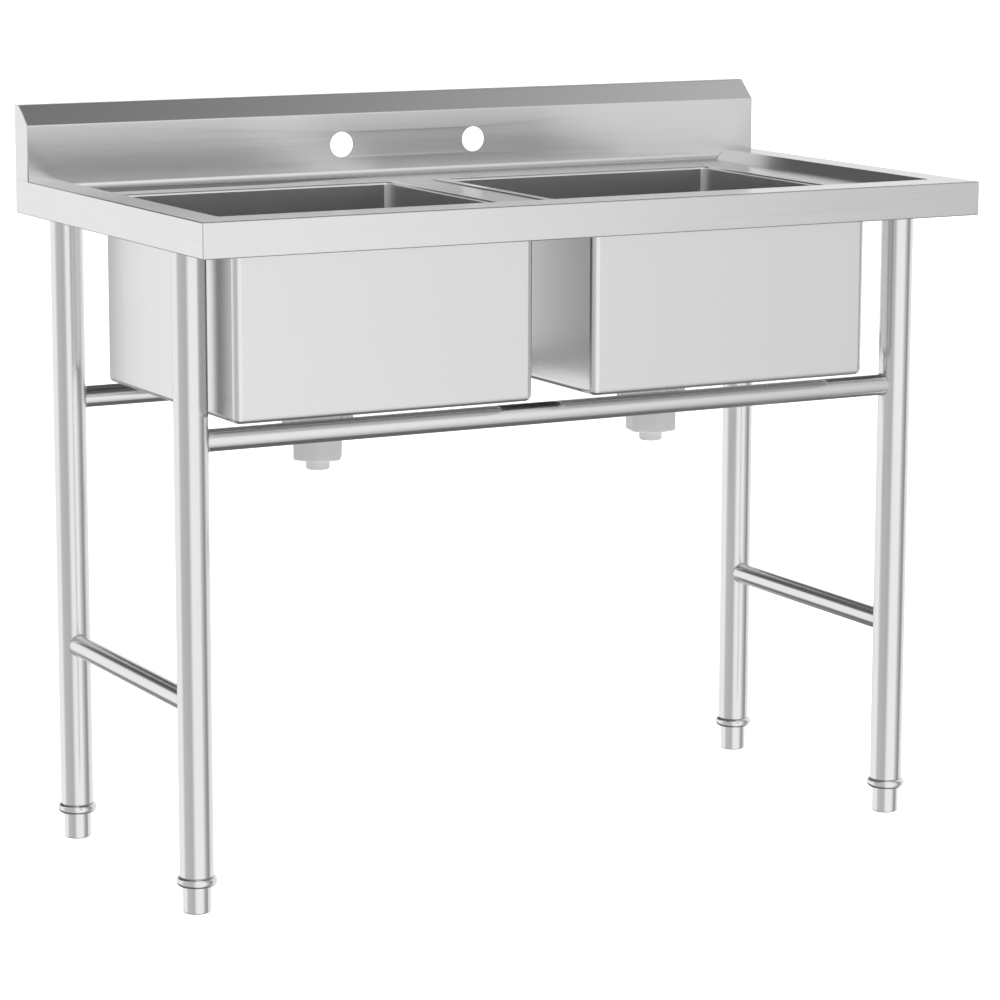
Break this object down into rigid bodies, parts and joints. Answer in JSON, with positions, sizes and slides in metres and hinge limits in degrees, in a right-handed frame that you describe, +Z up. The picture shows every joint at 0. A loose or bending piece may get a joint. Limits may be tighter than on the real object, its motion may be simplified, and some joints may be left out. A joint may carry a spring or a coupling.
{
  "type": "commercial sink",
  "caption": "Free-standing stainless commercial sink with deep square bowls, a sunken side ledge, a backsplash with faucet holes, and a tubular stand on levelling feet.",
  "frame": {"origin": "on the floor, under the middle of the overall box", "axes": "+X to the right seen from the front, +Y towards the wall, +Z up"},
  "size_m": [1.1, 0.6, 0.9655],
  "materials": {
    "brushed_sheet": "brushed stainless sheet with a fine grain",
    "bowl_sheet": "satin stainless sheet, upright grain outside",
    "mill_sheet": "dull mill-finish stainless",
    "polished_tube": "bright satin stainless tube",
    "polished_cup": "polished stainless",
    "plated_steel": "zinc-plated steel fasteners",
    "grey_plastic": "moulded pale grey plastic",
    "black_rubber": "black rubber",
    "black_knob": "black moulded plastic"
  },
  "bodies": {
    "root": {"worktop": "brushed_sheet", "backsplash": "brushed_sheet", "backsplash_left_cap": "brushed_sheet", "backsplash_right_cap": "brushed_sheet", "left_bowl": "bowl_sheet", "right_bowl": "bowl_sheet", "left_channel": "mill_sheet", "right_channel": "mill_sheet", "centre_channel": "mill_sheet", "front_left_leg": "polished_tube", "front_left_socket": "mill_sheet", "front_right_leg": "polished_tube", "front_right_socket": "mill_sheet", "rear_left_leg": "polished_tube", "rear_left_socket": "mill_sheet", "rear_right_leg": "polished_tube", "rear_right_socket": "mill_sheet", "leg_set_screws": "plated_steel", "front_rail": "polished_tube", "rear_rail": "polished_tube", "left_side_rail": "polished_tube", "right_side_rail": "polished_tube", "front_left_leg_insert": "polished_tube", "front_right_leg_insert": "polished_tube", "rear_left_leg_insert": "polished_tube", "rear_right_leg_insert": "polished_tube", "left_strainer_cup": "polished_cup", "left_gasket": "black_rubber", "left_drain_body": "grey_plastic", "left_clamp_screw": "plated_steel", "left_slip_nut": "grey_plastic", "left_slip_washer": "black_rubber", "left_tailpiece": "grey_plastic", "right_strainer_cup": "polished_cup", "right_gasket": "black_rubber", "right_drain_body": "grey_plastic", "right_clamp_screw": "plated_steel", "right_slip_nut": "grey_plastic", "right_slip_washer": "black_rubber", "right_tailpiece": "grey_plastic"},
    "front_left_foot": {"front_left_foot": "polished_tube", "front_left_foot_stud": "plated_steel"},
    "front_right_foot": {"front_right_foot": "polished_tube", "front_right_foot_stud": "plated_steel"},
    "rear_left_foot": {"rear_left_foot": "polished_tube", "rear_left_foot_stud": "plated_steel"},
    "rear_right_foot": {"rear_right_foot": "polished_tube", "rear_right_foot_stud": "plated_steel"},
    "left_basket": {"left_basket": "polished_cup", "left_basket_knob": "black_knob"},
    "right_basket": {"right_basket": "polished_cup", "right_basket_knob": "black_knob"}
  },
  "joints": [
    {"name": "front_left_foot_level", "type": "slide", "parent": "root", "child": "front_left_foot", "axis": [0, 0, -1], "range_m": [-0.015, 0.02]},
    {"name": "front_right_foot_level", "type": "slide", "parent": "root", "child": "front_right_foot", "axis": [0, 0, -1], "range_m": [-0.015, 0.02]},
    {"name": "rear_left_foot_level", "type": "slide", "parent": "root", "child": "rear_left_foot", "axis": [0, 0, -1], "range_m": [-0.015, 0.02]},
    {"name": "rear_right_foot_level", "type": "slide", "parent": "root", "child": "rear_right_foot", "axis": [0, 0, -1], "range_m": [-0.015, 0.02]},
    {"name": "left_basket_lift", "type": "slide", "parent": "root", "child": "left_basket", "axis": [0, 0, 1], "range_m": [0, 0.12]},
    {"name": "right_basket_lift", "type": "slide", "parent": "root", "child": "right_basket", "axis": [0, 0, 1], "range_m": [0, 0.12]}
  ]
}
